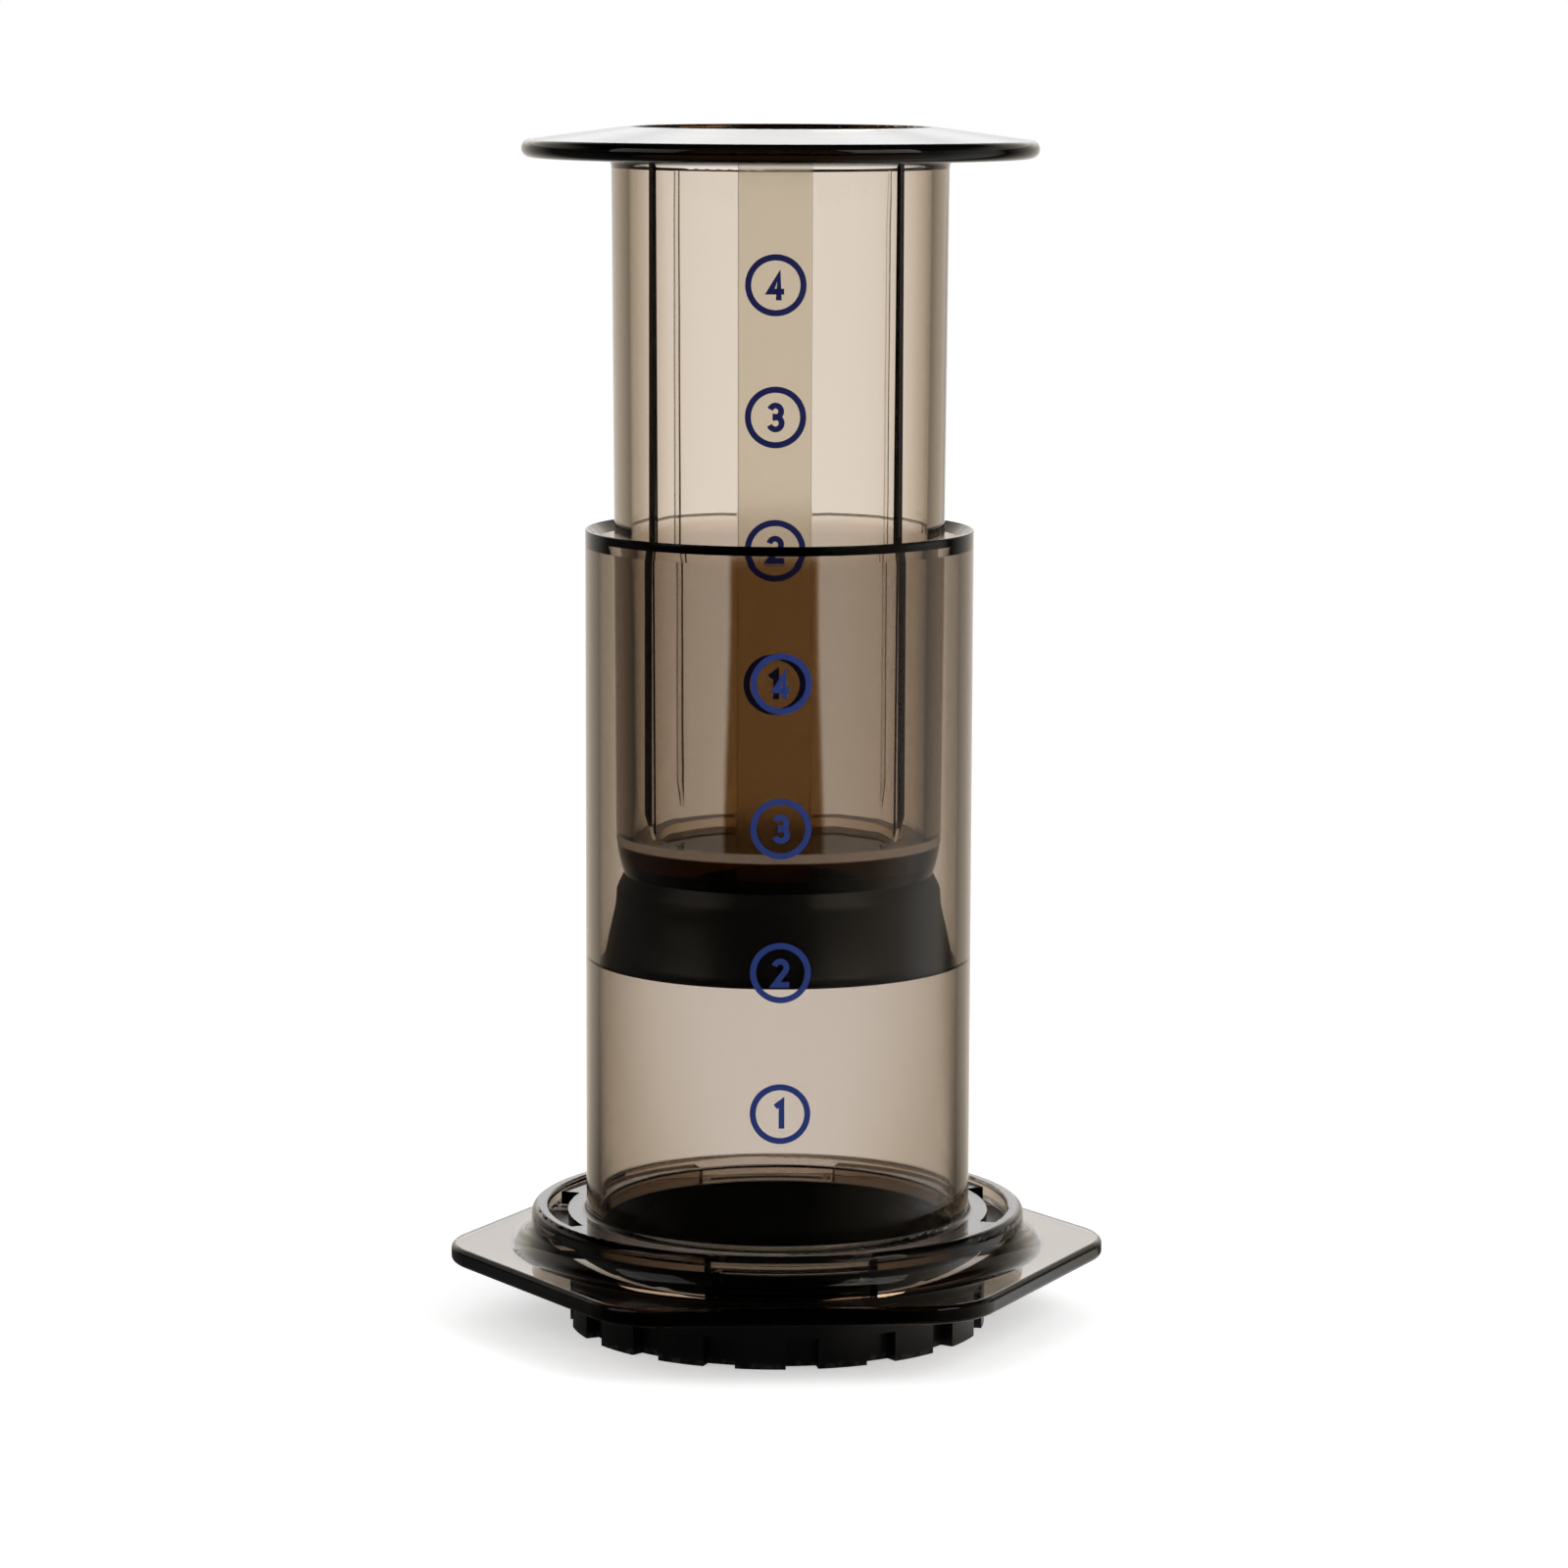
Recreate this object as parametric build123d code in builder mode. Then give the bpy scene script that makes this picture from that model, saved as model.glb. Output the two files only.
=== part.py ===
"""A portable coffee press: a clear smoked chamber on its filter cap, with the plunger partly drawn.

The frame's origin is on the table, at the middle of the cap's foot. +Z runs up the press, and two
corners of the hexagonal plate lie on the X axis. The side that the camera sees faces -Y.
"""
import os
from math import cos, radians

from build123d import *

# Chamber tube
bore_radius = 29.35
chamber_wall = 2.3
chamber_height = 131.7
mouth_edge_round = 0.3
mouth_lead_width = 0.3
mouth_lead_depth = 3.0
mouth_bevel = 1.6
tube_foot_lead = 0.5

# Hexagonal plate that rests on the mug
plate_height = 10.5
plate_thickness = 3.0
plate_tip_reach = 54.0
plate_corner_radius = 13.5
plate_edge_radius = 0.9

# Collar over the cap's lugs
lug_count = 4
collar_wall = 1.85
collar_rim_width = 2.7
collar_rim_rise = 0.9
collar_rim_round = 1.3
collar_rim_inner_round = 0.5
collar_foot_flare = 3.7
shelf_thickness = 2.15
shelf_fillet = 0.7
ledge_thickness = 3.55
ledge_angle = 40.5
stop_angle = 1.8

# Filter cap
cap_wall = 2.35
cap_floor_thickness = 1.9
cap_foot_height = 2.6
cap_foot_width = 4.2
cap_mouth_chamfer = 0.6
lug_reach = 4.0
lug_thickness = 2.1
lug_angle = 32.5
lug_lead = 0.6
grip_count = 16
grip_notch_angle = 8.8
grip_notch_depth = 2.2
grip_notch_height = 4.9
grip_turn = -19.2
sieve_ring_count = 5
sieve_pitch = 5.0
sieve_hole_radius = 1.45
sieve_rib_count = 6
sieve_rib_width = 1.4
sieve_rib_lift = 1.0

# Paper filter
paper_thickness = 0.25

# Plunger
plunger_drawn = 56.15
plunger_draft = 0.7
plunger_wall = 2.7
plunger_length = 116.05
plunger_floor_lift = 4.75
plunger_floor_thickness = 2.7
plunger_dish_radius = 20.1
plunger_dish_depth = 1.45
plunger_turn = -5.3
shoulder_height = 7.15
shoulder_drop = 1.3
root_fillet = 1.6
guide_rib_count = 4
guide_rib_width = 0.85
guide_rib_height = 0.75
guide_rib_lift = 7.75
guide_rib_ramp = 4.2
number_pad_angle = 26.5
number_pad_thickness = 0.55

# Palm flange of the plunger
flange_radius = 41.8
flange_edge_thickness = 3.0
flange_rise = 2.0
flange_hole_round = 0.6

# Spigot under the plunger that the rubber seal is stretched over
spigot_wall = 2.2
spigot_neck_inset = 4.8
spigot_neck_height = 5.2
spigot_head_reach = 2.0
spigot_head_height = 3.8
spigot_lead = 0.8

# Rubber seal
seal_height = 14.6
seal_shoulder_inset = 2.85
seal_shoulder_height = 12.4
seal_waist_inset = 2.6
seal_waist_height = 9.4
seal_skirt_inset = 0.75
seal_lip_height = 1.3
seal_lip_edge = 0.35
seal_dish_margin = 2.4
seal_dish_depth = 0.6

# Clearances
cap_to_tube = 0.35
paper_to_cap = 0.45
paper_to_tube = 0.05
lug_to_ledge = 0.15
lug_to_pocket = 0.5
lug_to_stop_angle = 0.6
ledge_to_cap = 0.6
shelf_to_cap = 0.4
window_margin_angle = 0.5
window_to_tube = 3.05
plunger_to_bore = 2.05
seal_to_bore = 0.05
seal_to_spigot = 0.05

# How far a cutting tool runs past the material it cuts
overrun = 1.0

# Radii that follow from the sizes above
tube_radius = bore_radius + chamber_wall
pocket_radius = tube_radius + cap_to_tube
cap_radius = pocket_radius + cap_wall
lug_radius = cap_radius + lug_reach
collar_bore = lug_radius + lug_to_pocket
collar_radius = collar_bore + collar_wall
ledge_radius = cap_radius + ledge_to_cap
window_radius = tube_radius + window_to_tube
sieve_radius = cap_radius - cap_foot_width
plunger_top_radius = bore_radius - plunger_to_bore
plunger_end_radius = plunger_top_radius - plunger_draft
spigot_neck_radius = plunger_end_radius - spigot_neck_inset

# Heights above the table
cap_floor_z = cap_foot_height + cap_floor_thickness
paper_top_z = cap_floor_z + paper_thickness
tube_foot_z = paper_top_z + paper_to_tube
plate_top_z = plate_height + plate_thickness
ledge_top_z = plate_height + ledge_thickness
lug_foot_z = ledge_top_z + lug_to_ledge
cap_top_z = lug_foot_z + lug_thickness
pocket_top_z = cap_top_z + shelf_to_cap
shelf_z = pocket_top_z + shelf_thickness
collar_top_z = shelf_z + collar_rim_rise
seal_foot_z = paper_top_z + plunger_drawn
seal_top_z = seal_foot_z + seal_height
plunger_foot_z = seal_top_z + seal_to_spigot
plunger_floor_z = plunger_foot_z + plunger_floor_lift
plunger_dish_rim_z = plunger_floor_z + plunger_dish_depth
spigot_roof_z = plunger_floor_z - plunger_floor_thickness
shoulder_top_z = plunger_foot_z + shoulder_height
flange_foot_z = plunger_foot_z + plunger_length
spigot_head_top_z = plunger_foot_z - spigot_neck_height
spigot_foot_z = spigot_head_top_z - spigot_head_height
press_top_z = flange_foot_z + flange_edge_thickness + flange_rise


def ring_sector(inner_radius, outer_radius, sector_angle, middle_angle=0):
    """A pad between two radii, as wide as the angle, about the direction of the middle angle."""
    with BuildSketch(mode=Mode.PRIVATE) as pad:
        with BuildLine():
            first_angle = middle_angle - sector_angle / 2
            outer_arc = CenterArc((0, 0), outer_radius, first_angle, sector_angle)
            inner_arc = CenterArc((0, 0), inner_radius, first_angle, sector_angle)
            Line(outer_arc @ 0, inner_arc @ 0)
            Line(outer_arc @ 1, inner_arc @ 1)
        make_face()
    return pad.sketch


# Paper filter: a thin disc that lies on the cap's sieve
paper_radius = pocket_radius - paper_to_cap
with BuildPart() as paper_filter:
    with BuildSketch(Plane.XY.offset(cap_floor_z)):
        Circle(paper_radius)
    extrude(amount=paper_thickness)
paper_filter.part.label = "paper_filter"


# One bayonet lug of the cap, with chamfered lower edges that lead onto a ledge
with BuildPart() as lug:
    with BuildSketch(Plane.XY.offset(lug_foot_z)):
        add(ring_sector(pocket_radius + cap_wall / 2, lug_radius, lug_angle))
    extrude(amount=lug_thickness)
    chamfer(edges().group_by(Axis.Z)[0].filter_by(GeomType.LINE), lug_lead)


# Filter cap: a black cup with a perforated floor, four bayonet lugs and a castellated foot
with BuildPart() as filter_cap:
    with BuildSketch(Plane.XZ):
        with BuildLine():
            Polyline(
                (sieve_radius, 0),
                (cap_radius, 0),
                (cap_radius, cap_top_z),
                (pocket_radius + cap_mouth_chamfer, cap_top_z),
                (pocket_radius, cap_top_z - cap_mouth_chamfer),
                (pocket_radius, cap_floor_z),
                (0, cap_floor_z),
                (0, cap_foot_height),
                (sieve_radius, cap_foot_height),
                close=True,
            )
        make_face()
    revolve(axis=Axis.Z)

    # Radial ribs under the floor, short of the table
    with BuildSketch(Plane.XY.offset(sieve_rib_lift)):
        with PolarLocations(0, sieve_rib_count):
            Rectangle(sieve_radius + overrun, sieve_rib_width, align=(Align.MIN, Align.CENTER))
        Circle(sieve_pitch - sieve_hole_radius)
    extrude(amount=cap_foot_height - sieve_rib_lift)

    # Sieve holes, ring by ring, with a gap over each rib
    with BuildSketch(Plane.XY.offset(cap_foot_height)):
        for ring in range(1, sieve_ring_count + 1):
            ring_hole_count = sieve_rib_count * ring
            with PolarLocations(sieve_pitch * ring, ring_hole_count, start_angle=180 / ring_hole_count):
                Circle(sieve_hole_radius)
    extrude(amount=cap_floor_thickness, mode=Mode.SUBTRACT)

    # Notches between the teeth of the castellated foot
    with BuildSketch():
        with PolarLocations(0, grip_count, start_angle=grip_turn):
            add(ring_sector(cap_radius - grip_notch_depth, cap_radius + overrun, grip_notch_angle))
    extrude(amount=grip_notch_height, mode=Mode.SUBTRACT)

    # Lugs near the mouth
    with PolarLocations(0, lug_count):
        add(lug.part)
filter_cap.part.label = "filter_cap"


# Chamber: tube, collar and hexagonal plate in one moulding
corner_cut = plate_corner_radius * (1 / cos(radians(180 / 6)) - 1)
with BuildPart() as chamber:
    # Plate, rounded at its six corners and along its edges
    with BuildSketch(Plane.XY.offset(plate_height)):
        RegularPolygon(plate_tip_reach + corner_cut, 6)
        fillet(vertices(), plate_corner_radius)
    extrude(amount=plate_thickness)
    fillet(faces().sort_by(Axis.Z)[0].edges() + faces().sort_by(Axis.Z)[-1].edges(), plate_edge_radius)

    # Collar, with a foot that flares into the plate and a rounded rim that stands above the shelf
    rim_inner_radius = collar_radius - collar_rim_width
    mouth_edge_radius = tube_radius - mouth_edge_round
    with BuildSketch(Plane.XZ):
        with BuildLine():
            foot = Line((0, plate_height), (collar_radius + collar_foot_flare, plate_height))
            step = Line(foot @ 1, (collar_radius + collar_foot_flare, plate_top_z))
            flare = RadiusArc(step @ 1, (collar_radius, plate_top_z + collar_foot_flare), collar_foot_flare)
            wall = Line(flare @ 1, (collar_radius, collar_top_z - collar_rim_round))
            crest_start = (collar_radius - collar_rim_round, collar_top_z)
            outer_round = RadiusArc(wall @ 1, crest_start, -collar_rim_round)
            crest = Line(outer_round @ 1, (rim_inner_radius + collar_rim_inner_round, collar_top_z))
            inner_round_end = (rim_inner_radius, collar_top_z - collar_rim_inner_round)
            inner_round = RadiusArc(crest @ 1, inner_round_end, -collar_rim_inner_round)
            inside = Line(inner_round @ 1, (rim_inner_radius, shelf_z))
            shelf = Line(inside @ 1, (tube_radius + shelf_fillet, shelf_z))
            corner = RadiusArc(shelf @ 1, (tube_radius, shelf_z + shelf_fillet), shelf_fillet)
            tube = Line(corner @ 1, (tube_radius, chamber_height - mouth_edge_round))
            mouth = RadiusArc(tube @ 1, (mouth_edge_radius, chamber_height), -mouth_edge_round)
            Polyline(mouth @ 1, (0, chamber_height), foot @ 0)
        make_face()
    revolve(axis=Axis.Z)

    # Pocket for the cap's wall and lugs, open at the bottom
    with BuildSketch(Plane.XY.offset(plate_height)):
        Circle(collar_bore)
    extrude(amount=pocket_top_z - plate_height, mode=Mode.SUBTRACT)

    # Ledges that the lugs lock over, and the stops at the end of their travel
    with BuildSketch(Plane.XY.offset(plate_height)):
        with PolarLocations(0, lug_count):
            add(ring_sector(ledge_radius, collar_bore + collar_wall / 2, ledge_angle))
    extrude(amount=ledge_thickness)
    stop_middle_angle = lug_angle / 2 + lug_to_stop_angle + stop_angle / 2
    with BuildSketch(Plane.XY.offset(plate_height)):
        with PolarLocations(0, lug_count):
            add(ring_sector(ledge_radius, collar_bore + collar_wall / 2, stop_angle, -stop_middle_angle))
    extrude(amount=pocket_top_z - plate_height)

    # Tube wall down to the paper, and the bore through it
    with BuildSketch(Plane.XY.offset(tube_foot_z)):
        Circle(tube_radius)
    extrude(amount=shelf_z - tube_foot_z)
    chamfer(faces().sort_by(Axis.Z)[0].edges(), tube_foot_lead)
    with BuildSketch(Plane.XZ):
        with BuildLine():
            lead_radius = bore_radius + mouth_lead_width
            mouth_radius = lead_radius + mouth_bevel
            Polyline(
                (0, tube_foot_z - overrun),
                (bore_radius, tube_foot_z - overrun),
                (bore_radius, chamber_height - mouth_lead_depth),
                (lead_radius, chamber_height - mouth_bevel),
                (mouth_radius, chamber_height),
                (mouth_radius, chamber_height + overrun),
                (0, chamber_height + overrun),
                close=True,
            )
        make_face()
    revolve(axis=Axis.Z, mode=Mode.SUBTRACT)

    # Windows in the shelf above the ledges
    window_angle = ledge_angle + 2 * window_margin_angle
    with BuildSketch(Plane.XY.offset(pocket_top_z)):
        with PolarLocations(0, lug_count):
            add(ring_sector(window_radius, rim_inner_radius, window_angle))
    extrude(amount=shelf_thickness, mode=Mode.SUBTRACT)
chamber.part.label = "chamber"


# Plunger: a drafted hollow tube with a palm flange on top and a spigot for the seal below
taper = (plunger_top_radius - plunger_end_radius) / (flange_foot_z - shoulder_top_z)
flange_edge_round = flange_edge_thickness / 2
flange_edge_radius = flange_radius - flange_edge_round
flange_edge_top_z = flange_foot_z + flange_edge_thickness
mouth_hole_radius = plunger_top_radius - plunger_wall
floor_hole_radius = plunger_end_radius - plunger_wall
spigot_head_radius = spigot_neck_radius + spigot_head_reach
spigot_bore_radius = spigot_neck_radius - spigot_wall

# One guide rib of the plunger, rooted in its wall, with a ramped lower end
rib_foot_z = plunger_foot_z + guide_rib_lift
rib_top_z = flange_foot_z + flange_edge_round
rib_radius = plunger_top_radius + guide_rib_height
rib_root_radius = plunger_end_radius - plunger_wall / 2
with BuildPart() as guide_rib:
    with BuildSketch(Plane.XZ):
        with BuildLine():
            Polyline(
                (rib_root_radius, rib_foot_z),
                (plunger_end_radius, rib_foot_z),
                (rib_radius, rib_foot_z + guide_rib_ramp),
                (rib_radius, rib_top_z),
                (rib_root_radius, rib_top_z),
                close=True,
            )
        make_face()
    extrude(amount=guide_rib_width / 2, both=True)

# Strip that thickens the front wall from inside, behind the printed numbers
pad_middle_angle = plunger_turn - 90
pad_foot_radius = floor_hole_radius - number_pad_thickness
pad_top_radius = mouth_hole_radius - number_pad_thickness
pad_foot_root_radius = floor_hole_radius + plunger_wall / 2
pad_top_root_radius = mouth_hole_radius + plunger_wall / 2
with BuildPart() as number_pad:
    with BuildSketch(Plane.XY.offset(plunger_floor_z - plunger_floor_thickness / 2)):
        add(ring_sector(pad_foot_radius, pad_foot_root_radius, number_pad_angle, pad_middle_angle))
    with BuildSketch(Plane.XY.offset(flange_edge_top_z)):
        add(ring_sector(pad_top_radius, pad_top_root_radius, number_pad_angle, pad_middle_angle))
    loft()

# The plunger itself, turned in one profile
with BuildPart() as plunger:
    with BuildSketch(Plane.XZ):
        with BuildLine():
            # Up the outside, from the spigot to the flange
            spigot = Polyline(
                (spigot_bore_radius, spigot_foot_z),
                (spigot_head_radius - spigot_lead, spigot_foot_z),
                (spigot_head_radius, spigot_foot_z + spigot_lead),
                (spigot_head_radius, spigot_head_top_z),
                (spigot_neck_radius, spigot_head_top_z),
                (spigot_neck_radius, plunger_foot_z),
                (plunger_end_radius - shoulder_drop, plunger_foot_z),
            )
            shoulder = TangentArc(
                (plunger_end_radius, shoulder_top_z),
                spigot @ 1,
                tangent=(-taper, -1),
            )
            wall = Line(shoulder @ 0, (plunger_top_radius, flange_foot_z - root_fillet))
            root = RadiusArc(wall @ 1, (plunger_top_radius + root_fillet, flange_foot_z), root_fillet)
            palm = Line(root @ 1, (flange_edge_radius, flange_foot_z))
            edge = ThreePointArc(
                palm @ 1,
                (flange_radius, flange_foot_z + flange_edge_round),
                (flange_edge_radius, flange_edge_top_z),
            )
            # Over the flange, down the inside to the dished floor, and into the spigot from below
            hole_edge_radius = mouth_hole_radius + flange_hole_round
            top = Line(edge @ 1, (hole_edge_radius, press_top_z))
            lip = RadiusArc(top @ 1, (mouth_hole_radius, press_top_z - flange_hole_round), -flange_hole_round)
            Polyline(
                lip @ 1,
                (floor_hole_radius, plunger_dish_rim_z),
                (plunger_dish_radius, plunger_dish_rim_z),
                (plunger_dish_radius, plunger_floor_z),
                (0, plunger_floor_z),
                (0, spigot_roof_z),
                (spigot_bore_radius, spigot_roof_z),
                spigot @ 0,
            )
        make_face()
    revolve(axis=Axis.Z)

    # Guide ribs outside, and the thicker strip inside the front wall
    with PolarLocations(0, guide_rib_count, start_angle=plunger_turn - 180 / guide_rib_count):
        add(guide_rib.part)
    add(number_pad.part)
plunger.part.label = "plunger"


# Rubber seal: a flexible cone that widens to a wiping lip, with a ring-shaped hollow for the spigot
hollow_neck_radius = spigot_neck_radius + seal_to_spigot
hollow_head_radius = spigot_head_radius + seal_to_spigot
hollow_head_top_z = spigot_head_top_z + seal_to_spigot
hollow_foot_z = spigot_foot_z - seal_to_spigot
plug_radius = spigot_bore_radius - seal_to_spigot
plug_top_z = spigot_roof_z - seal_to_spigot
lip_radius = bore_radius - seal_to_bore
skirt_radius = bore_radius - seal_skirt_inset
waist_radius = bore_radius - seal_waist_inset
shoulder_radius = bore_radius - seal_shoulder_inset
dish_radius = lip_radius - seal_dish_margin
with BuildPart() as plunger_seal:
    with BuildSketch(Plane.XZ):
        with BuildLine():
            Polyline(
                (0, seal_foot_z + seal_dish_depth),
                (dish_radius - seal_dish_depth, seal_foot_z + seal_dish_depth),
                (dish_radius, seal_foot_z),
                (lip_radius, seal_foot_z),
                (lip_radius, seal_foot_z + seal_lip_edge),
                (skirt_radius, seal_foot_z + seal_lip_height),
                (waist_radius, seal_foot_z + seal_waist_height),
                (shoulder_radius, seal_foot_z + seal_shoulder_height),
                (plunger_end_radius - shoulder_drop, seal_top_z),
                (hollow_neck_radius, seal_top_z),
                (hollow_neck_radius, hollow_head_top_z),
                (hollow_head_radius, hollow_head_top_z),
                (hollow_head_radius, hollow_foot_z),
                (plug_radius, hollow_foot_z),
                (plug_radius, plug_top_z),
                (0, plug_top_z),
                close=True,
            )
        make_face()
    revolve(axis=Axis.Z)
plunger_seal.part.label = "plunger_seal"


os.makedirs("parts", exist_ok=True)
export_step(chamber.part, "parts/chamber.step")
export_step(plunger.part, "parts/plunger.step")
export_step(plunger_seal.part, "parts/plunger_seal.step")
export_step(filter_cap.part, "parts/filter_cap.step")
export_step(paper_filter.part, "parts/paper_filter.step")
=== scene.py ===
"""A portable coffee press, standing on a pale table with its plunger partly drawn."""
from math import cos, pi, radians, sin

import bmesh
import bpy
from mathutils import Matrix, Vector


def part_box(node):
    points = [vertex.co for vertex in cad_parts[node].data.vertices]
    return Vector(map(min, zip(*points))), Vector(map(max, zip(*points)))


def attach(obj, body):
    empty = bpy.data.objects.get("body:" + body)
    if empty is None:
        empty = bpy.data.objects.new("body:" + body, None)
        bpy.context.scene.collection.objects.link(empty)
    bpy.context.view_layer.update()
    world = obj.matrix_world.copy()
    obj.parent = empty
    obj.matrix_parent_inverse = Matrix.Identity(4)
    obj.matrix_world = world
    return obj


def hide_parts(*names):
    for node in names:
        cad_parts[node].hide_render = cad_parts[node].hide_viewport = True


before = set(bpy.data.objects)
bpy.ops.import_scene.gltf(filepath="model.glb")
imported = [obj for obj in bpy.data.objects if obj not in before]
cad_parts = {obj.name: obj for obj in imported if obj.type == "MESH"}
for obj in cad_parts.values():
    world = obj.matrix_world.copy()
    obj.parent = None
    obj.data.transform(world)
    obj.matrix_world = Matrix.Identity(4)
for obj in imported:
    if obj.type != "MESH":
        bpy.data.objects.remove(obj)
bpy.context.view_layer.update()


# Filter cap
# The black cup that twists onto the chamber's foot. It is moulded in a tough, slightly satin plastic, and
# its toothed foot is the part that gets scuffed, on tables and in the hand.

class Shade:
    """A socket among a material's nodes. Sums on it add Math nodes."""

    def __init__(self, tree, socket=None):
        self.tree = tree
        self.socket = socket

    def node(self, kind, settings=None, sockets=None, output=0):
        """One node more: its settings first, then the values or links of its sockets."""
        made = self.tree.nodes.new(kind)
        for name, setting in (settings or {}).items():
            setattr(made, name, setting)
        for name, value in (sockets or {}).items():
            if isinstance(value, Shade):
                self.tree.links.new(value.socket, made.inputs[name])
            else:
                made.inputs[name].default_value = value
        return Shade(self.tree, made.outputs[output] if made.outputs else None)

    def maths(self, operation, left, right):
        return self.node("ShaderNodeMath", {"operation": operation}, {0: left, 1: right})

    def __add__(self, other):
        return self.maths("ADD", self, other)

    def __radd__(self, other):
        return self.maths("ADD", other, self)

    def __sub__(self, other):
        return self.maths("SUBTRACT", self, other)

    def __rsub__(self, other):
        return self.maths("SUBTRACT", other, self)

    def __mul__(self, other):
        return self.maths("MULTIPLY", self, other)

    def __rmul__(self, other):
        return self.maths("MULTIPLY", other, self)

    def __abs__(self):
        return self.maths("ABSOLUTE", self, 0.0)

    def larger(self, other):
        return self.maths("MAXIMUM", self, other)

    def smaller(self, other):
        return self.maths("MINIMUM", self, other)

    def above(self, level, blur):
        """A mask: 1 where the value is well above the level, 0 where it is well below."""
        ends = {"Value": self, "From Min": level - blur, "From Max": level + blur}
        return self.node("ShaderNodeMapRange", {"interpolation_type": "SMOOTHSTEP"}, ends)

    def below(self, level, blur):
        return 1 - self.above(level, blur)

    def along(self, axis):
        """One coordinate of a place."""
        return self.node("ShaderNodeSeparateXYZ", None, {0: self}, axis)

    def noise(self, scale, detail=2.0, roughness=0.5):
        sockets = {"Vector": self, "Scale": scale, "Detail": detail, "Roughness": roughness}
        return self.node("ShaderNodeTexNoise", None, sockets)

    def stretched(self, factors):
        """The place, pulled out or squeezed along each axis."""
        return self.node("ShaderNodeVectorMath", {"operation": "MULTIPLY"}, {0: self, 1: factors})

    def between(self, first, second):
        """A colour, from the first where the mask is 0 to the second where it is 1."""
        ends = {0: self, 6: first, 7: second}
        return self.node("ShaderNodeMix", {"data_type": "RGBA"}, ends, 2)

    def bumped(self, height):
        """A normal for a surface that stands out by the value times the height, in metres."""
        return self.node("ShaderNodeBump", None, {"Height": self, "Distance": height, "Strength": 1.0})

    def painted(self, sockets):
        """An ordinary surface with those sockets set."""
        return self.node("ShaderNodeBsdfPrincipled", None, sockets)

    def mixed(self, first, second):
        """A surface, from the first where the mask is 0 to the second where it is 1."""
        return self.node("ShaderNodeMixShader", None, {0: self, 1: first, 2: second})

    def as_surface(self, inside=None):
        """Ends the material with this surface, and with what fills the piece."""
        sockets = {"Surface": self, "Volume": inside} if inside else {"Surface": self}
        self.node("ShaderNodeOutputMaterial", None, sockets)


def new_finish(name):
    """An empty material, and the place on the piece in metres that its nodes start from."""
    finish = bpy.data.materials.new(name)
    finish.use_nodes = True
    finish.node_tree.nodes.clear()
    return finish, Shade(finish.node_tree).node("ShaderNodeTexCoord", output="Object")


def put_on(node_name, finish):
    """Gives a CAD node its finish in each of its material slots."""
    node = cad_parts[node_name]
    for slot in node.material_slots:
        slot.material = finish


scuffed_height = 0.0008

moulded_black, place = new_finish("moulded_black")
mottle = place.noise(60.0, 3.0)
grain = place.noise(2600.0, 2.0)
patches = place.noise(900.0, 4.0).above(0.52, blur=0.1)
scuff = place.along("Z").below(scuffed_height, blur=0.0005) * patches
place.painted({
    "Base Color": scuff.between((0.0035, 0.0036, 0.004, 1), (0.03, 0.03, 0.031, 1)),
    "Roughness": 0.24 + 0.14 * mottle + 0.25 * scuff,
    "Specular IOR Level": 0.3,
    "Normal": (grain + 2.0 * scuff).bumped(0.000012),
}).as_surface()
put_on("filter_cap", moulded_black)


# Paper filter
# A thin disc of bleached filter paper that lies on the cap's sieve, under the foot of the chamber.
# It is matt, with short fibres that show as faint clouds.

filter_paper, place = new_finish("filter_paper")
clouds = place.noise(240.0, 5.0, 0.65)
fibres = place.stretched((1.0, 3.2, 1.0)).noise(2100.0, 3.0)
place.painted({
    "Base Color": clouds.between((0.78, 0.75, 0.68, 1), (0.86, 0.84, 0.79, 1)),
    "Roughness": 0.82 + 0.12 * fibres,
    "Specular IOR Level": 0.2,
    "Normal": (clouds + fibres).bumped(0.00003),
}).as_surface()
put_on("paper_filter", filter_paper)


# Chamber
# One injection moulding in a clear copolyester with a brown smoke tint: tube, collar and mug plate.
# The tint is in the plastic, so long ways through the rim and the plate come out nearly black. The plate's
# narrow sides and the mouth's thin edge are also painted dark, as painted shade.

chamber_tint = (0.416, 0.3, 0.176, 1)
chamber_tint_strength = 280.0
mouth_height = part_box("chamber")[1].z
mouth_band = 0.00045
plate_top = 0.0135
plate_margin = 0.0004
collar_reach = 0.0455


def clear_plastic(name, tint, strength, tones, light_ring_mask=None):
    """A polished clear plastic, with the tint of its body and how strongly the tint works.

    The tones are masks, each with the colour that its place lets through and how frosted it is; some are
    painted shade. The light ring mask marks a place painted as a pale, matt band that nothing shows
    through: painted light.
    """
    finish, place = new_finish(name)
    flow = place.stretched((1.0, 1.0, 0.25)).noise(55.0, 3.0)
    colour = flow.between((0.985, 0.98, 0.97, 1), (1, 1, 1, 1))
    roughness = 0.012 + 0.02 * place.noise(420.0, 4.0)
    for mask, tone, frost in tones(place):
        colour = mask.between(colour, tone)
        roughness = roughness + frost * mask
    surface = place.painted({
        "Base Color": colour,
        "Roughness": roughness,
        "IOR": 1.55,
        "Transmission Weight": 1.0,
        "Specular Tint": (0.15, 0.15, 0.15, 1),
        "Normal": flow.bumped(0.00002),
    })
    if light_ring_mask:
        # Painted light: a pale, matt band for a light line above the seal
        painted_light = place.painted({
            "Base Color": place.noise(700.0, 3.0).between((0.5, 0.42, 0.36, 1), (0.66, 0.58, 0.52, 1)),
            "Roughness": 0.6,
        })
        surface = light_ring_mask(place).mixed(surface, painted_light)
    inside = place.node("ShaderNodeVolumeAbsorption", None, {"Color": tint, "Density": strength})
    surface.as_surface(inside)
    return finish


def outside(place, radius, blur):
    """A mask: 1 where the place is further than the radius from the press's upright middle line."""
    x, y = place.along("X"), place.along("Y")
    return (x * x + y * y).above(radius ** 2, 2 * radius * blur)


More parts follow.
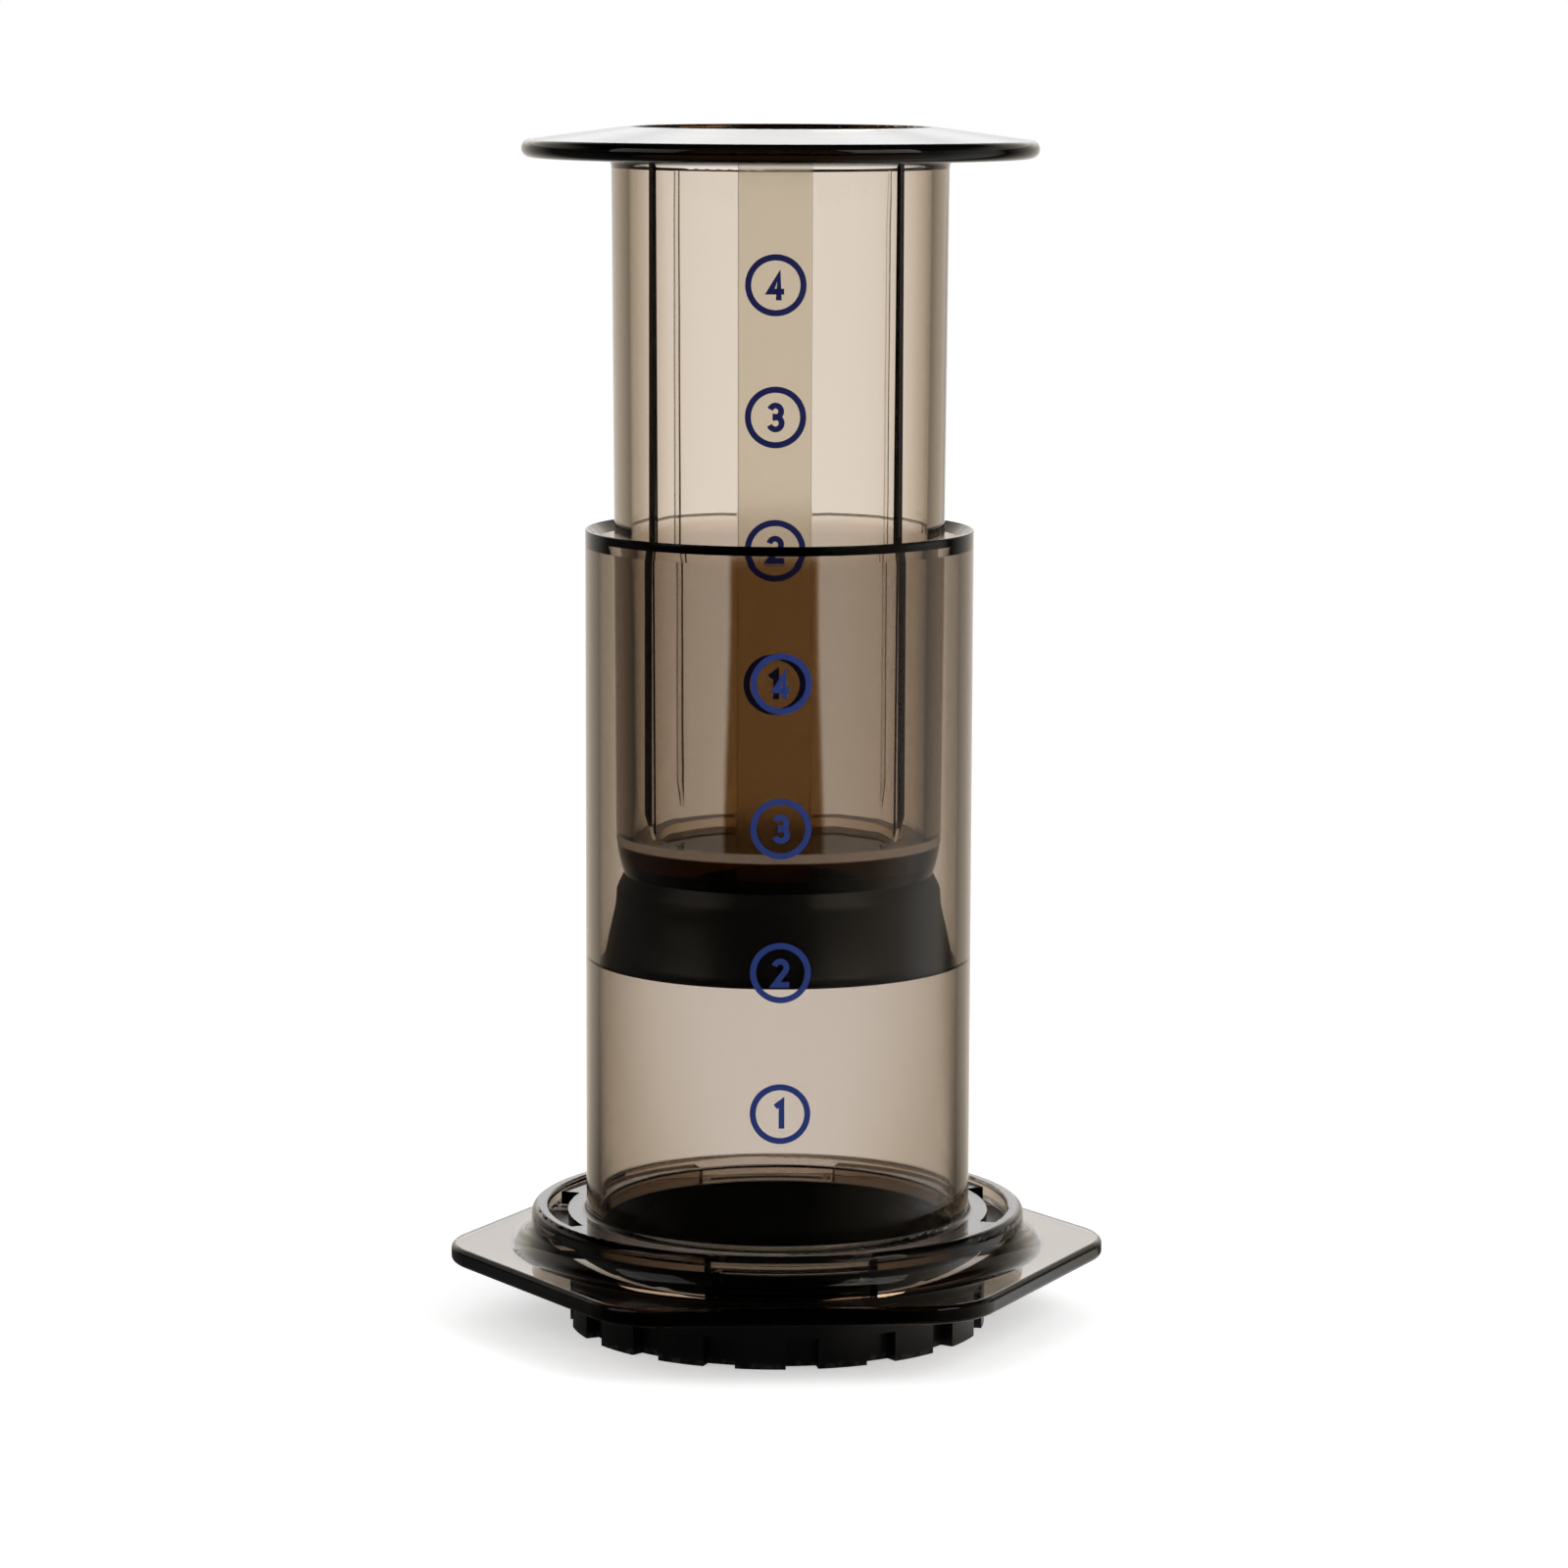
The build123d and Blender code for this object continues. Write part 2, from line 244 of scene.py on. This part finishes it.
def painted_shade_edges(place):
    """Painted shade: the plate's narrow sides and the mouth's thin edge are painted dark, where little
    light comes out.
    """
    z = place.along("Z")
    # Painted shade: the plate's upright narrow sides are painted nearly black
    upright = abs(place.node("ShaderNodeTexCoord", output="Normal").along("Z")).below(0.55, blur=0.35)
    plate_side = upright * outside(place, collar_reach, blur=0.00022)
    plate_side = plate_side * z.below(plate_top + plate_margin, blur=0.0002)
    # Painted shade: a dark band is painted round the mouth's thin edge
    mouth = z.above(mouth_height - mouth_band, blur=0.0001)
    return [
        (plate_side, (0.006, 0.0045, 0.0035, 1), 0.0),
        (mouth, (0.17, 0.14, 0.11, 1), 0.0),
    ]


put_on("chamber", clear_plastic("chamber_smoke", chamber_tint, chamber_tint_strength, painted_shade_edges))


# Numbers printed on the chamber
# Four rings with a numeral in each, pad-printed in navy ink on the outside of the tube, one above the
# other. They count the measures of water, and the ink stands a few hundredths of a millimetre proud.

ring_radius = 0.00485
ring_line = 0.00098
numeral_height = 0.0047
numeral_line = 0.00093
ink_thickness = 0.00003
ring_steps = 96
bands_each_side = 9
longest_mitre = 2.2

chamber_radius = 0.03165
chamber_mark_turn = radians(-92.8)
chamber_mark_heights = {"4": 0.1101, "3": 0.0870, "2": 0.0639, "1": 0.0411}


def arc(x, y, across, up, first, last, steps=14):
    """Points round part of an ellipse, by its middle, its two half sizes and two angles in degrees."""
    turns = [radians(first + (last - first) * i / steps) for i in range(steps + 1)]
    return [(x + across * cos(turn), y + up * sin(turn)) for turn in turns]


# The middle lines of the numerals' strokes, with a numeral's height as the unit
numeral_strokes = {
    "1": [[(-0.16, 0.25), (0.05, 0.41), (0.05, -0.5)]],
    "2": [arc(0, 0.19, 0.2, 0.21, 165, -30) + [(-0.19, -0.4), (0.3, -0.4)]],
    "3": [arc(0, 0.2, 0.19, 0.2, 160, -90) + arc(0, -0.19, 0.21, 0.21, 90, -160)],
    "4": [[(0.1, -0.5), (0.1, 0.33), (-0.2, -0.21), (0.28, -0.21)]],
}


def circle(radius, steps):
    """Points evenly spaced round a circle."""
    turns = [2 * pi * i / steps for i in range(steps)]
    return [(radius * cos(turn), radius * sin(turn)) for turn in turns]


def stroke_edges(points, width):
    """The two edges of a stroke along its middle line, mitred where it turns."""
    left, right = [], []
    for i, (x, y) in enumerate(points):
        before = points[max(i - 1, 0)]
        after = points[min(i + 1, len(points) - 1)]
        ways = [Vector((x - before[0], y - before[1])), Vector((after[0] - x, after[1] - y))]
        ways = [way.normalized() for way in ways if way.length > 1e-6]
        along = sum(ways, Vector((0, 0))).normalized()
        aside = Vector((-along.y, along.x))
        mitre = width / 2 / max(along.dot(ways[0]), 1 / longest_mitre)
        left.append((x + aside.x * mitre, y + aside.y * mitre))
        right.append((x - aside.x * mitre, y - aside.y * mitre))
    return left, right


def navy_ink(name, shade):
    """Ink of that shade of blue, a little patchy from the pad."""
    finish, place = new_finish(name)
    patchy = place.noise(700.0, 4.0)
    thin_shade = [0.7 * part for part in shade]
    place.painted({
        "Base Color": patchy.between([*thin_shade, 1], [*shade, 1]),
        "Roughness": 0.35 + 0.2 * patchy,
        "Specular IOR Level": 0.3,
        "Normal": patchy.bumped(0.000008),
    }).as_surface()
    return finish


def new_piece(name, form):
    """An object in the scene with the form as its mesh."""
    mesh = bpy.data.meshes.new(name)
    form.to_mesh(mesh)
    form.free()
    piece = bpy.data.objects.new(name, mesh)
    bpy.context.scene.collection.objects.link(piece)
    return piece


def printed_mark(name, numeral, height, turn, radius_at, ink_finish):
    """A ring and its numeral, laid round the wall at that height and turned to that direction."""
    ink = bmesh.new()
    for points in numeral_strokes[numeral]:
        left, right = [
            [ink.verts.new((x * numeral_height, y * numeral_height, 0)) for x, y in edge]
            for edge in stroke_edges(points, numeral_line / numeral_height)
        ]
        for i in range(len(points) - 1):
            ink.faces.new((left[i], right[i], right[i + 1], left[i + 1]))
    ring_edges = [
        [ink.verts.new((x, y, 0)) for x, y in circle(radius, ring_steps)]
        for radius in (ring_radius, ring_radius - ring_line / 2, ring_radius - ring_line)
    ]
    for outer, inner in zip(ring_edges, ring_edges[1:]):
        for i in range(ring_steps):
            after = (i + 1) % ring_steps
            ink.faces.new((outer[i], outer[after], inner[after], inner[i]))
    # Cut the strokes into narrow upright bands, so that they can follow the wall's curve
    for band in range(1 - bands_each_side, bands_each_side):
        parts = ink.verts[:] + ink.edges[:] + ink.faces[:]
        cut_at = (band * ring_radius / bands_each_side, 0, 0)
        bmesh.ops.bisect_plane(ink, geom=parts, dist=1e-7, plane_co=cut_at, plane_no=(1, 0, 0))
    bmesh.ops.recalc_face_normals(ink, faces=ink.faces[:])
    for face in ink.faces:
        if face.normal.z < 0:
            face.normal_flip()
    for vertex in ink.verts:
        x, y = vertex.co.x, vertex.co.y
        radius = radius_at(height + y) + ink_thickness
        angle = turn + x / radius
        vertex.co = (radius * cos(angle), radius * sin(angle), height + y)
    mark = new_piece(name, ink)
    mark.data.materials.append(ink_finish)
    return mark


chamber_ink = navy_ink("chamber_ink", (0.01, 0.028, 0.16))
for numeral, height in chamber_mark_heights.items():
    mark = printed_mark("chamber_mark_" + numeral, numeral, height, chamber_mark_turn,
                        lambda z: chamber_radius, chamber_ink)
    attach(mark, "chamber")


# Rubber seal
# A soft black rubber cone, stretched over the plunger's spigot. Its thin lip wipes the bore clean, and
# the moulded rubber is satin with a very fine grain.

seal_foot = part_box("plunger_seal")[0].z
seal_steps = 160
# Radii and heights above its foot: dished foot, lip, skirt, shoulder, hollow for the spigot, plug
seal_profile = [
    (0.0, 0.0006), (0.0258, 0.0006), (0.0264, 0.0003), (0.0269, 0.0), (0.0289, 0.0),
    (0.0292, 0.00005), (0.02938, 0.0002), (0.02938, 0.0006), (0.0291, 0.0009), (0.0287, 0.0013),
    (0.02845, 0.0019), (0.0268, 0.0092), (0.02665, 0.0102), (0.02655, 0.0120),
    (0.0263, 0.0127), (0.0253, 0.0146), (0.0250, 0.01468), (0.0218, 0.01468),
    (0.0218, 0.0095), (0.0238, 0.0095), (0.0238, 0.0056), (0.01963, 0.0056),
    (0.01963, 0.01673), (0.0, 0.01673),
]


def turned_piece(name, profile, foot, steps):
    """A body turned from a profile of radii and heights above its foot."""
    form = bmesh.new()
    rings = []
    for radius, height in profile:
        if radius == 0:
            rings.append([form.verts.new((0, 0, foot + height))] * steps)
        else:
            rings.append([form.verts.new((x, y, foot + height)) for x, y in circle(radius, steps)])
    for below, above in zip(rings, rings[1:]):
        for i in range(steps):
            after = (i + 1) % steps
            corners = dict.fromkeys((below[i], below[after], above[after], above[i]))
            form.faces.new(list(corners)).smooth = True
    bmesh.ops.recalc_face_normals(form, faces=form.faces[:])
    return new_piece(name, form)


black_rubber, place = new_finish("black_rubber")
bloom = place.noise(90.0, 3.0)
grain = place.noise(3200.0, 2.0)
place.painted({
    "Base Color": bloom.between((0.0025, 0.0025, 0.0024, 1), (0.005, 0.005, 0.0048, 1)),
    "Roughness": 0.42 + 0.16 * bloom,
    "Specular IOR Level": 0.5,
    "Normal": grain.bumped(0.000012),
}).as_surface()
seal = turned_piece("rubber_cone", seal_profile, seal_foot, seal_steps)
seal.data.materials.append(black_rubber)
crease = seal.modifiers.new("sharp_edges", "EDGE_SPLIT")
crease.split_angle = radians(35)
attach(seal, "seal")
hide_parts("plunger_seal")


# Plunger
# The second clear moulding, a little paler than the chamber: a hollow tube with a palm flange, four thin
# guide ribs, and a thicker strip behind the numbers. Where it stands inside the chamber its wall is
# painted darker and its strip brown, as painted shade; the front ribs and the flange's rim are painted
# nearly black and the front of the foot dark, as shade, and a pale ring above the seal is painted light.

plunger_tint = (0.521, 0.318, 0.079, 1)
plunger_tint_strength = 120.0
plunger_turn = radians(-5.3)
plunger_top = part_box("plunger")[1].z

# Outside this radius the flange's rim is painted nearly black, as painted shade
flange_edge_radius = 0.0405
flange_edge_drop = 0.0014
strip_drop = 0.0052
strip_half_width = 0.0057
strip_front = -0.015
# Below this height the wall stands inside the chamber, and is painted darker there as shade
inside_shade_height = mouth_height - 0.0022
# The strip's brown part is painted shade inside the chamber, wider, and flaring out lower down
brown_half_width = 1.17 * strip_half_width
brown_flare = 0.0009
brown_flare_height = 0.102
rib_width = 0.00085
rib_root_radius = 0.02735
floor_height = 0.0803
floor_reach = 0.0245
foot_top = floor_height + 0.0003
# The heights of the pale ring painted as light above the seal
ring_foot, ring_top = floor_height + 0.0004, floor_height + 0.0019


def strip_and_ribs(place):
    """The numbers' strip, and painted shade: the foot's edge, the wall inside the chamber, the strip's
    brown part there, and the dark front ribs and rim.
    """
    turned = place.node("ShaderNodeVectorRotate", {"rotation_type": "Z_AXIS"},
                        {"Vector": place, "Angle": -plunger_turn})
    x, y, z = turned.along("X"), turned.along("Y"), turned.along("Z")
    front = y.below(strip_front, blur=0.001) * z.below(plunger_top - strip_drop, blur=0.0002)
    # Painted shade: the wall is painted darker where it stands inside the chamber
    inside_shade = z.below(inside_shade_height, blur=0.002)
    strip = abs(x).below(strip_half_width, blur=0.00025) * front
    # Painted shade: the strip is painted brown where it stands inside the chamber
    brown_reach = brown_half_width + brown_flare * z.below(brown_flare_height, blur=0.02)
    brown = abs(x).below(brown_reach, blur=0.0005) * front * inside_shade
    # Painted shade: the front ribs and the flange's rim are painted nearly black
    ribs = abs(abs(x) - abs(y)).below(rib_width, blur=0.0001) * front
    ribs = ribs * outside(turned, rib_root_radius, blur=0.000055)
    rim = outside(turned, flange_edge_radius, blur=0.00025)
    rim = rim * z.below(plunger_top - flange_edge_drop, blur=0.0003)
    # Painted shade: the front of the wall below the hollow's floor is painted a dark, cool tone
    foot = z.below(foot_top, blur=0.0002) * y.below(0.004, blur=0.01)
    foot = foot * outside(turned, floor_reach, blur=0.0002)
    return [
        (foot, (0.1, 0.12, 0.15, 1), 0.0),
        (inside_shade * (1 - foot), (0.93, 0.94, 0.957, 1), 0.0),
        (strip, (0.796, 0.764, 0.673, 1), 0.2),
        (brown, (0.288, 0.175, 0.073, 1), 0.0),
        (ribs.larger(rim), (0.0006, 0.0004, 0.0003, 1), 0.0),
    ]


def painted_light_ring(place):
    """Painted light: a pale band round the front of the wall outside the hollow's floor, above the seal.
    """
    y, z = place.along("Y"), place.along("Z")
    band = z.above(ring_foot, blur=0.0002) * z.below(ring_top, blur=0.0002) * y.below(0.0, blur=0.02)
    return band * outside(place, floor_reach, blur=0.0002)


put_on("plunger", clear_plastic(
    "plunger_smoke", plunger_tint, plunger_tint_strength, strip_and_ribs, painted_light_ring))


# Numbers printed on the plunger
# The same rings and numerals in darker ink, in front of the thicker strip of the plunger's wall.
# They stand closer together than the chamber's own, so the two rows never quite match.

wall_foot, wall_top = 0.0827, 0.1916
wall_foot_radius, wall_top_radius = 0.0266, 0.0273
plunger_mark_turn = radians(-94.9)
plunger_mark_heights = {"4": 0.1724, "3": 0.1517, "2": 0.1307, "1": 0.1095}


def plunger_wall_radius(z):
    """The plunger's wall is drafted: it is a little narrower at its foot."""
    share = (z - wall_foot) / (wall_top - wall_foot)
    return wall_foot_radius + (wall_top_radius - wall_foot_radius) * share


plunger_ink = navy_ink("plunger_ink", (0.003, 0.006, 0.075))
for numeral, height in plunger_mark_heights.items():
    mark = printed_mark("plunger_mark_" + numeral, numeral, height, plunger_mark_turn,
                        plunger_wall_radius, plunger_ink)
    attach(mark, "plunger")


# Table
# A plain pale sheet under the press, wide enough that its edge is out of sight. To the camera and
# through the clear plastic it is nearly white, and the press still throws its soft shadow on it.

table_reach = 6.0
press_turn = radians(3.5)
white, warm_white = (1, 1, 1, 1), (1, 0.92, 0.8, 1)
sheet_paleness = 0.8
sheet_glow = 0.45


def turned_to_camera(way):
    """A direction, turned so that +Y leads from the photograph's camera to the press."""
    return way.node("ShaderNodeVectorRotate", {"rotation_type": "Z_AXIS"},
                    {"Vector": way, "Angle": press_turn})


def room_seen(way):
    """Masks for camera rays and all that the eye sees, and how bright and how warm the room looks.

    White screens stand behind, in front of and beside the press, with dimmer, warmer gaps between them.
    Mirrors show a dark studio round the camera, with its brighter end to the right. Light that has
    bounced about inside the clear plastic is dimmer still.
    """
    camera, mirror, through, bounces = (
        way.node("ShaderNodeLightPath", output=kind)
        for kind in ("Is Camera Ray", "Is Glossy Ray", "Is Transmission Ray", "Glossy Depth"))
    seen = camera.larger(mirror.larger(through))
    once, twice = bounces.above(0.5, blur=0.1), bounces.above(1.5, blur=0.1)
    right, back = way.along("X"), way.along("Y")
    between = abs(right).smaller(abs(back))
    screens = 1 - 0.24 * between.above(0.2, blur=0.15) - 0.25 * between.above(0.5, blur=0.15)
    right_end = 0.9 * right.above(0.55, blur=0.3) * back.below(0.4, blur=0.1)
    left_end = 0.06 * right.below(-0.7, blur=0.2)
    studio = 0.05 + 0.95 * back.above(0.65, blur=0.2).larger(right_end + left_end)
    bright = screens * (1 - once * (1 - studio)) * (1 - through * (0.28 * once + 0.5 * twice))
    warm = (seen - camera) * between.above(0.22, blur=0.17)
    return camera, seen, bright, warm


def sheet(place, paleness, tone, glow):
    """The table's surface, with how pale it is, the tone of its light, and how much it glows."""
    return place.painted({
        "Base Color": [paleness * part for part in tone[:3]] + [1],
        "Roughness": 0.9,
        "Specular IOR Level": 0.0,
        "Emission Color": tone,
        "Emission Strength": glow,
    })


corners = [(-table_reach, -table_reach, 0), (table_reach, -table_reach, 0),
           (table_reach, table_reach, 0), (-table_reach, table_reach, 0)]
table_mesh = bpy.data.meshes.new("table")
table_mesh.from_pydata(corners, [], [(0, 1, 2, 3)])
table = bpy.data.objects.new("table", table_mesh)
bpy.context.scene.collection.objects.link(table)
pale_sheet, place = new_finish("pale_sheet")
way = turned_to_camera(place.node("ShaderNodeVectorMath", {"operation": "NORMALIZE"}, {0: place}))
camera_ray, seen, bright, warm = room_seen(way)
dimmed = (seen - camera_ray) * (1 - bright)
lit = sheet(place, sheet_paleness, white, 0.0)
surface = seen.mixed(lit, sheet(place, sheet_paleness, white, sheet_glow))
surface = warm.mixed(surface, sheet(place, sheet_paleness, warm_white, sheet_glow))
surface = dimmed.mixed(surface, sheet(place, 0.0, white, 0.0))
surface.as_surface()
table_mesh.materials.append(pale_sheet)


# Light
# A white room all round, plain white to the camera and nearly so through the clear plastic, with one
# large soft lamp to the right and a weaker one to the left.

room_fill = 0.72
ceiling_dimming = 0.85
softbox_glow = 0.55

world = bpy.data.worlds.new("room")
bpy.context.scene.world = world
world.use_nodes = True
world.node_tree.nodes.clear()
way = turned_to_camera(Shade(world.node_tree).node("ShaderNodeTexCoord", output="Generated"))
camera_ray, seen, bright, warm = room_seen(way)
height = way.along("Z")
ceiling = height.above(0.35, blur=0.2)
seen_level = camera_ray + (seen - camera_ray) * bright * (1 - ceiling_dimming * ceiling)
# Two softboxes behind the press, which only outer faces mirror
on_glass, in_glass, diffuse_ray = (
    way.node("ShaderNodeLightPath", output=kind)
    for kind in ("Is Glossy Ray", "Is Transmission Ray", "Is Diffuse Ray"))
mirrored = on_glass * (1 - in_glass) * way.along("Y")
low_light = mirrored.above(0.9, blur=0.08) * height.above(0.12, blur=0.06)
high_light = mirrored.above(0.3, blur=0.2) * height.above(0.235, blur=0.03)
softboxes = (low_light + high_light) * height.below(0.55, blur=0.1)
level = room_fill * diffuse_ray + seen_level + softbox_glow * softboxes
tone = warm.between(white, warm_white)
room = way.node("ShaderNodeBackground", None, {"Color": tone, "Strength": level})
room.node("ShaderNodeOutputWorld", None, {"Surface": room})

lit_point = Vector((0, 0, 0.1))


def soft_lamp(name, stand_at, width, power):
    """A square soft lamp that looks from its stand at the middle of the press."""
    lamp = bpy.data.lights.new(name, "AREA")
    lamp.size = width
    lamp.energy = power
    stand = bpy.data.objects.new(name, lamp)
    bpy.context.scene.collection.objects.link(stand)
    facing = (Vector(stand_at) - lit_point).to_track_quat("Z", "Y").to_matrix().to_4x4()
    stand.matrix_world = Matrix.Translation(stand_at) @ facing


soft_lamp("lamp_right", (0.55, -0.55, 0.6), 0.5, 4.0)
soft_lamp("lamp_left", (-0.7, -0.3, 0.5), 0.5, 2.0)


# Camera
# It stands 0.85 m away and looks slightly down, as in the photograph. The press is turned 3.5 degrees
# to it, so the camera is turned back by as much.

camera_aside = 0.0008615
camera_distance = 0.84877
camera_height = 0.21161
camera_dip = 0.1427
camera_roll = 0.0031
focal_length = 120.137

lens = bpy.data.cameras.new("camera")
lens.lens = focal_length
camera = bpy.data.objects.new("camera", lens)
bpy.context.scene.collection.objects.link(camera)
camera.matrix_world = (
    Matrix.Rotation(-press_turn, 4, "Z")
    @ Matrix.Translation((camera_aside, -camera_distance, camera_height))
    @ Matrix.Rotation(pi / 2 - camera_dip, 4, "X")
    @ Matrix.Rotation(camera_roll, 4, "Z")
)
bpy.context.scene.camera = camera
bpy.context.scene.view_settings.view_transform = "Standard"
bpy.context.scene.cycles.max_bounces = 24
bpy.context.scene.cycles.transmission_bounces = 24
bpy.context.scene.cycles.glossy_bounces = 12
